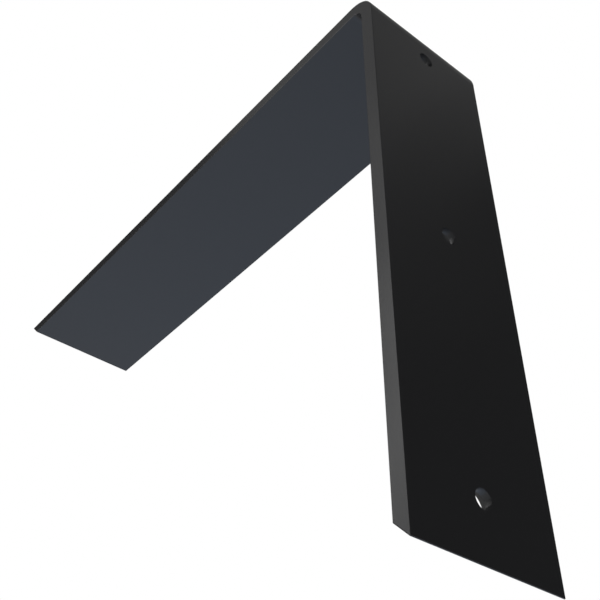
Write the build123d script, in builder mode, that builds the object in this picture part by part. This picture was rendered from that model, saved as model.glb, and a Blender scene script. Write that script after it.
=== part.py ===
from build123d import *
import os
from math import radians, tan

# Countertop support bracket: one flat steel bar, bent once to a right angle.
#
# The wall leg is screwed upright to a wall or a cabinet side, and the counter arm
# reaches out level under the countertop. Both free ends are cut on a bevel, so that
# the outer face of the bar is the longer one and no blunt end shows from the room.
#
# Frame, in millimetres: the back of the wall leg lies in the plane X = 0 and the arm
# reaches along +X. The bracket is symmetric about Y = 0, and +Z is up. The origin is
# the centre of the row of screw holes, on the face that meets the wall.

# --- driving dimensions -------------------------------------------------------------

# Flat bar
bar_width = 63.5  # 2 1/2 in
bar_thickness = 6.35  # 1/4 in

# Legs, each measured overall
wall_leg_length = 254.0  # 10 in, from the lower tip up to the counter face
counter_arm_length = 304.8  # 12 in, from the wall out to the tip

# Bend and ends
inner_bend_radius = 6.0  # a close bend, a little tighter than the bar is thick
end_bevel_angle = 45.0  # between each end face and a square cut, in degrees
edge_break = 0.3  # edges are deburred before the bar is coated

# Countersunk screw holes in the wall leg, evenly spaced on its centre line
screw_count = 3
screw_end_distance = 21.4  # from the lower tip, and the same from the counter face
screw_hole_diameter = 7.2  # clears a 1/4 in wood screw
countersink_diameter = 13.6
countersink_angle = 82.0

# --- sizes that follow from them ----------------------------------------------------

outer_bend_radius = inner_bend_radius + bar_thickness
screw_spacing = (wall_leg_length - 2 * screw_end_distance) / (screw_count - 1)
counter_face_z = wall_leg_length / 2
outer_corner = (0, counter_face_z)
inner_corner = (bar_thickness, counter_face_z - bar_thickness)

# A bevelled end sets the inner face back, and deburring shortens its sharp tip a
# little, so the bar is cut longer by that much.
end_setback = bar_thickness * tan(radians(end_bevel_angle))
half_tip_angle = (90 - end_bevel_angle) / 2
tip_loss = edge_break * (1 / tan(radians(half_tip_angle)) - 1)
cut_tip_z = counter_face_z - wall_leg_length - tip_loss
cut_tip_x = counter_arm_length + tip_loss


# --- bracket ------------------------------------------------------------------------

with BuildPart() as bracket:
    # Side view of the bent bar, drawn with sharp corners and then given its bend.
    with BuildSketch(Plane.XZ) as side_view:
        with BuildLine():
            Polyline(
                (0, cut_tip_z),
                outer_corner,
                (cut_tip_x, counter_face_z),
                (cut_tip_x - end_setback, counter_face_z - bar_thickness),
                inner_corner,
                (bar_thickness, cut_tip_z + end_setback),
                close=True,
            )
        make_face()
        fillet(side_view.vertices().sort_by_distance(outer_corner)[0], outer_bend_radius)
        fillet(side_view.vertices().sort_by_distance(inner_corner)[0], inner_bend_radius)
    extrude(amount=bar_width / 2, both=True)

    # Deburred edges, along both sides of the bar and round both end faces.
    bar_sides = bracket.faces().filter_by(Axis.Y)
    wall_leg_end = bracket.faces().sort_by(Axis.Z)[0]
    counter_arm_end = bracket.faces().sort_by(Axis.X)[-1]
    end_edges = wall_leg_end.edges() + counter_arm_end.edges()
    fillet(bar_sides.edges() + end_edges.filter_by(Axis.Y), edge_break)

    # Screw holes, sunk from the room side so that the heads finish flush.
    room_side = Plane(origin=(bar_thickness, 0, 0), x_dir=(0, 1, 0), z_dir=(1, 0, 0))
    with Locations(room_side):
        with GridLocations(0, screw_spacing, 1, screw_count):
            CounterSinkHole(
                radius=screw_hole_diameter / 2,
                counter_sink_radius=countersink_diameter / 2,
                depth=bar_thickness,
                counter_sink_angle=countersink_angle,
            )

bracket.part.label = "bracket"

# --- output -------------------------------------------------------------------------

os.makedirs("parts", exist_ok=True)
export_step(bracket.part, "parts/bracket.step")
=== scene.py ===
import math

import bpy
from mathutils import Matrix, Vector


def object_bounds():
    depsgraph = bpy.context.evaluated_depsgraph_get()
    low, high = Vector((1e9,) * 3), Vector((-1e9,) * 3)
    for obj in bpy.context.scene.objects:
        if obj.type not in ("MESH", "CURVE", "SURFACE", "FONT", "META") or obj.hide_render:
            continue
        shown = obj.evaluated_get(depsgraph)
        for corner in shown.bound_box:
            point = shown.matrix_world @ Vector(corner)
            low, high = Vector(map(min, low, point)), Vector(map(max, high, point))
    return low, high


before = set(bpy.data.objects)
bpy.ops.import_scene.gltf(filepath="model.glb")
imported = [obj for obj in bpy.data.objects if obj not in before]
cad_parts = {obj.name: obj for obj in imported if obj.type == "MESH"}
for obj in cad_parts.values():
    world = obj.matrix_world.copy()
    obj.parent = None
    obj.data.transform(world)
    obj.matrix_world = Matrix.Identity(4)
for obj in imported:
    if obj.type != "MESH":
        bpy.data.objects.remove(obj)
cad_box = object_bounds()

MM = 0.001
WHITE = (1.0, 1.0, 1.0, 1.0)


# --- small helpers ----------------------------------------------------------------------


def linear(hex_colour):
    """Turns an sRGB hex colour into linear RGBA: a power of 2.4 above a short straight foot."""
    channels = [int(hex_colour[i : i + 2], 16) / 255 for i in (1, 3, 5)]
    return tuple(c / 12.92 if c <= 0.04045 else ((c + 0.055) / 1.055) ** 2.4 for c in channels) + (1.0,)


def add_node(tree, kind, settings=None, inputs=None):
    """Adds a node, sets its own settings, and fills its inputs with values or links."""
    node = tree.nodes.new(kind)
    for name, value in (settings or {}).items():
        setattr(node, name, value)
    for name, value in (inputs or {}).items():
        if isinstance(value, bpy.types.NodeSocket):
            tree.links.new(value, node.inputs[name])
        else:
            node.inputs[name].default_value = value
    return node


def new_material(name):
    """A material with an empty node tree, and that tree."""
    material = bpy.data.materials.new(name)
    material.use_nodes = True
    material.node_tree.nodes.clear()
    return material, material.node_tree


def direction(azimuth, elevation):
    """The unit vector at an azimuth from +X towards +Y and an elevation above level, in degrees."""
    turn, rise = math.radians(azimuth), math.radians(elevation)
    return Vector((math.cos(turn) * math.cos(rise), math.sin(turn) * math.cos(rise), math.sin(rise)))


# --- view -------------------------------------------------------------------------------

# The camera stands behind the wall leg and below it, so that it sees the wall face, one
# side of the bar and the underside of the arm.
VIEW_AZIMUTH = 139.947
VIEW_ELEVATION = -40.129
VIEW_DISTANCE = 0.4024
AIM_ALONG_ARM = 0.0785
AIM_HEIGHT = 0.0199
FOCAL_LENGTH = 57.18
SHIFT = (-0.0152, 0.0022)

towards_camera = direction(VIEW_AZIMUTH, VIEW_ELEVATION)


def add_camera():
    """A camera at the view above, which takes in the whole bracket."""
    data = bpy.data.cameras.new("camera")
    data.lens = FOCAL_LENGTH
    data.sensor_width = 36.0
    data.shift_x, data.shift_y = SHIFT
    data.clip_start = 0.01
    data.clip_end = 50.0
    camera = bpy.data.objects.new("camera", data)
    camera.location = Vector((AIM_ALONG_ARM, 0, AIM_HEIGHT)) + towards_camera * VIEW_DISTANCE
    camera.rotation_euler = (-towards_camera).to_track_quat("-Z", "Y").to_euler()
    bpy.context.scene.collection.objects.link(camera)
    bpy.context.scene.camera = camera


# --- bracket ----------------------------------------------------------------------------

PEEL_SPACING = 1.6 * MM  # from crest to crest of the orange peel
PEEL_HEIGHT = 0.02 * MM  # the most that a crest could stand up, before the bump's strength
FLOW_SPACING = 45 * MM  # across one drift of the sheen
SHEEN_ROUGHNESS = (0.245, 0.26)  # where the coat flowed out best, and least


def satin_black_powder_coat():
    """Polyester powder coat on steel, sprayed dry and baked: near black, a soft satin sheen,
    and the faint, close orange peel that the powder leaves as it flows out."""
    material, tree = new_material("satin_black_powder_coat")
    place = add_node(tree, "ShaderNodeTexCoord").outputs["Object"]

    # Orange peel: shallow waves a millimetre or two apart and a few microns high. They shift
    # the reflections a little, and the surface stays smooth to the touch.
    peel = add_node(
        tree,
        "ShaderNodeTexNoise",
        None,
        {"Vector": place, "Scale": 1 / PEEL_SPACING, "Detail": 2.0, "Roughness": 0.5},
    )
    bump = add_node(
        tree,
        "ShaderNodeBump",
        None,
        {"Height": peel.outputs["Fac"], "Strength": 0.4, "Distance": PEEL_HEIGHT},
    )

    # The coat flows out a little more in some places than in others, so its sheen drifts
    # slowly over a few centimetres.
    flow = add_node(
        tree,
        "ShaderNodeTexNoise",
        None,
        {"Vector": place, "Scale": 1 / FLOW_SPACING, "Detail": 2.0, "Roughness": 0.5},
    )
    roughness = add_node(
        tree,
        "ShaderNodeMapRange",
        None,
        {
            "Value": flow.outputs["Fac"],
            "From Min": 0.3,
            "From Max": 0.7,
            "To Min": SHEEN_ROUGHNESS[0],
            "To Max": SHEEN_ROUGHNESS[1],
        },
    )
    coat = add_node(
        tree,
        "ShaderNodeBsdfPrincipled",
        None,
        {
            "Base Color": linear("#1e1e1f"),
            "Roughness": roughness.outputs["Result"],
            "IOR": 1.5,
            "Normal": bump.outputs["Normal"],
        },
    )
    add_node(tree, "ShaderNodeOutputMaterial", None, {"Surface": coat.outputs["BSDF"]})
    return material


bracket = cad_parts["bracket"]
bracket.data.materials.clear()
bracket.data.materials.append(satin_black_powder_coat())


# --- floor ------------------------------------------------------------------------------

FLOOR_DROP = 1.0  # the bracket hangs on a wall, so the floor lies well below it
FLOOR_HALF = 6.0  # from its middle to each side
FADE_START = 0.8  # from here outwards the floor melts into the white background
FADE_END = 2.4

floor_height = cad_box[0].z - FLOOR_DROP


def pale_floor():
    """Matt studio floor paper, a cool off-white. Seen directly, it fades to plain white away
    from the object, so that it meets the background without a line."""
    material, tree = new_material("pale_floor_paper")
    paper = add_node(tree, "ShaderNodeBsdfDiffuse", None, {"Color": linear("#dfe1e4")})
    white = add_node(tree, "ShaderNodeEmission", None, {"Color": WHITE, "Strength": 1.0})
    place = add_node(tree, "ShaderNodeTexCoord").outputs["Object"]
    level = add_node(tree, "ShaderNodeVectorMath", {"operation": "MULTIPLY"}, {0: place, 1: (1, 1, 0)})
    away = add_node(tree, "ShaderNodeVectorMath", {"operation": "LENGTH"}, {0: level.outputs["Vector"]})
    fade = add_node(
        tree,
        "ShaderNodeMapRange",
        {"interpolation_type": "SMOOTHSTEP"},
        {"Value": away.outputs["Value"], "From Min": FADE_START, "From Max": FADE_END},
    )
    path = add_node(tree, "ShaderNodeLightPath")
    seen = add_node(
        tree,
        "ShaderNodeMath",
        {"operation": "MULTIPLY"},
        {0: fade.outputs["Result"], 1: path.outputs["Is Camera Ray"]},
    )
    mixed = add_node(
        tree,
        "ShaderNodeMixShader",
        None,
        {0: seen.outputs["Value"], 1: paper.outputs["BSDF"], 2: white.outputs["Emission"]},
    )
    add_node(tree, "ShaderNodeOutputMaterial", None, {"Surface": mixed.outputs["Shader"]})
    return material


def add_floor():
    """A flat square of floor paper, level, below the bracket."""
    half, z = FLOOR_HALF, floor_height
    corners = [(-half, -half, z), (half, -half, z), (half, half, z), (-half, half, z)]
    mesh = bpy.data.meshes.new("floor")
    mesh.from_pydata(corners, [], [(0, 1, 2, 3)])
    mesh.materials.append(pale_floor())
    floor = bpy.data.objects.new("floor", mesh)
    bpy.context.scene.collection.objects.link(floor)


# --- surroundings -----------------------------------------------------------------------

ROOM_LIGHT = 0.6  # on matt surfaces, from all round
DARK_STUDIO = 0.04  # what gloss mirrors where no lamp or backdrop stands
BACKDROP_EDGE = 12.0  # degrees from the middle of the backdrop to where it ends
BACKDROP_PLAIN = 5.0  # degrees from its middle to where it starts to fade


def add_surroundings():
    """A studio: even room light, a white backdrop behind the object, and dark round it.

    The camera and glass see white everywhere. Gloss mirrors the backdrop only where it stands,
    opposite the camera, and elsewhere the dark of the studio. So the sheen comes from the lamps.
    """
    world = bpy.data.worlds.new("studio")
    bpy.context.scene.world = world
    world.use_nodes = True
    world.cycles.sampling_method = "NONE"
    tree = world.node_tree
    tree.nodes.clear()
    path = add_node(tree, "ShaderNodeLightPath")
    ray = add_node(tree, "ShaderNodeTexCoord").outputs["Generated"]
    facing = add_node(
        tree, "ShaderNodeVectorMath", {"operation": "DOT_PRODUCT"}, {0: ray, 1: -towards_camera}
    )
    backdrop = add_node(
        tree,
        "ShaderNodeMapRange",
        {"interpolation_type": "SMOOTHSTEP"},
        {
            "Value": facing.outputs["Value"],
            "From Min": math.cos(math.radians(BACKDROP_EDGE)),
            "From Max": math.cos(math.radians(BACKDROP_PLAIN)),
        },
    )
    mirrored = add_node(
        tree,
        "ShaderNodeMath",
        {"operation": "MULTIPLY"},
        {0: path.outputs["Is Glossy Ray"], 1: backdrop.outputs["Result"]},
    )
    direct = add_node(
        tree,
        "ShaderNodeMath",
        {"operation": "MAXIMUM"},
        {0: path.outputs["Is Camera Ray"], 1: path.outputs["Is Transmission Ray"]},
    )
    shows_white = add_node(
        tree,
        "ShaderNodeMath",
        {"operation": "MAXIMUM"},
        {0: mirrored.outputs[0], 1: direct.outputs[0]},
    )
    room = add_node(tree, "ShaderNodeBackground", None, {"Color": WHITE, "Strength": ROOM_LIGHT})
    dark = add_node(tree, "ShaderNodeBackground", None, {"Color": WHITE, "Strength": DARK_STUDIO})
    white = add_node(tree, "ShaderNodeBackground", None, {"Color": WHITE, "Strength": 1.0})
    lit = add_node(
        tree,
        "ShaderNodeMixShader",
        None,
        {0: path.outputs["Is Glossy Ray"], 1: room.outputs[0], 2: dark.outputs[0]},
    )
    mixed = add_node(
        tree,
        "ShaderNodeMixShader",
        None,
        {0: shows_white.outputs[0], 1: lit.outputs[0], 2: white.outputs[0]},
    )
    add_node(tree, "ShaderNodeOutputWorld", None, {"Surface": mixed.outputs[0]})


# --- lamps ------------------------------------------------------------------------------

AIM = Vector((0.1, 0, 0))  # what the panels on stands face
DOWN = Vector((0, 0, -1))
UP = Vector((0, 0, 1))
STAND_DISTANCE = 1.6
LOW, MIDDLE, HIGH = 1.5, 1.53, 1.56  # overhead, spaced so that overlapping panels each shine
FLOOR_GAP = 0.01  # the panel on the floor lies this far above it
COOL = (0.65, 1.04, 1.72)


def panel(name, place, facing, width, height, radiance, tint=(1, 1, 1)):
    """A rectangular soft lamp. Its power follows from how bright its face is: radiance * pi * area."""
    lamp = bpy.data.lights.new(name, "AREA")
    lamp.shape = "RECTANGLE"
    lamp.size, lamp.size_y = width, height
    lamp.energy = radiance * math.pi * width * height
    lamp.color = tint
    holder = bpy.data.objects.new(name, lamp)
    holder.location = place
    holder.rotation_euler = facing.to_track_quat("-Z", "Y").to_euler()
    holder.visible_camera = False
    bpy.context.scene.collection.objects.link(holder)


def stand_panel(name, azimuths, elevations, **look):
    """A panel on a stand, facing the bracket, that spans the given azimuths and elevations there."""
    turn, rise = sum(azimuths) / 2, sum(elevations) / 2
    half_turn = math.radians(azimuths[1] - azimuths[0]) / 2
    half_rise = math.radians(elevations[1] - elevations[0]) / 2
    width = 2 * STAND_DISTANCE * math.tan(half_turn) * math.cos(math.radians(rise))
    height = 2 * STAND_DISTANCE * math.tan(half_rise)
    towards_panel = direction(turn, rise)
    panel(name, AIM + towards_panel * STAND_DISTANCE, -towards_panel, width, height, **look)


def level_panel(name, x_edges, y_edges, height, facing, **look):
    """A level panel that faces up or down, given by its edges and its height."""
    place = Vector((sum(x_edges) / 2, sum(y_edges) / 2, height))
    panel(name, place, facing, x_edges[1] - x_edges[0], y_edges[1] - y_edges[0], **look)


def add_lamps():
    """A tall softbox off to one side, with its head turned in and its light falling off above
    that, a dim wing and a small kicker beside it, a low panel and a dim one on the room side, a
    fill behind, dim panels overhead, brighter towards the softbox and with a small patch near
    their far edge, and a cool panel on the floor. That one faces straight up, so it lights the
    bracket and not the floor."""
    stand_panel("softbox", (62, 82), (-18, 44), radiance=2.1)
    stand_panel("softbox_head", (50, 62), (27, 41), radiance=2.0)
    stand_panel("softbox_edge", (50, 62), (41, 52), radiance=0.35)
    stand_panel("softbox_wing", (50, 62), (0, 27), radiance=0.43)
    stand_panel("kicker", (38, 50), (19, 32), radiance=1.75)
    stand_panel("room_low", (0, 36), (-20, -5), radiance=2.5)
    stand_panel("room_dim", (-50, 0), (-20, 25), radiance=0.07)
    stand_panel("back_fill", (100, 150), (-30, 15), radiance=0.8)
    level_panel("overhead_wide", (-1.4, 1.12), (-1.15, 1.5), LOW, DOWN, radiance=0.054)
    level_panel("overhead", (-1.4, 1.12), (-0.9, 1.5), MIDDLE, DOWN, radiance=0.102)
    level_panel("overhead_arm", (0.0, 1.12), (0.2, 1.5), HIGH, DOWN, radiance=0.073)
    level_panel("overhead_far", (-1.5, -1.0), (-1.5, -1.15), LOW, DOWN, radiance=0.04)
    level_panel("overhead_patch", (-0.6, -0.2), (-1.15, -0.85), HIGH, DOWN, radiance=0.138)
    on_floor = floor_height + FLOOR_GAP
    level_panel("cool_fill", (-0.5, 2.1), (-2.0, 0.2), on_floor, UP, radiance=0.21, tint=COOL)


add_camera()
add_floor()
add_surroundings()
add_lamps()
bpy.context.scene.view_settings.view_transform = "Standard"
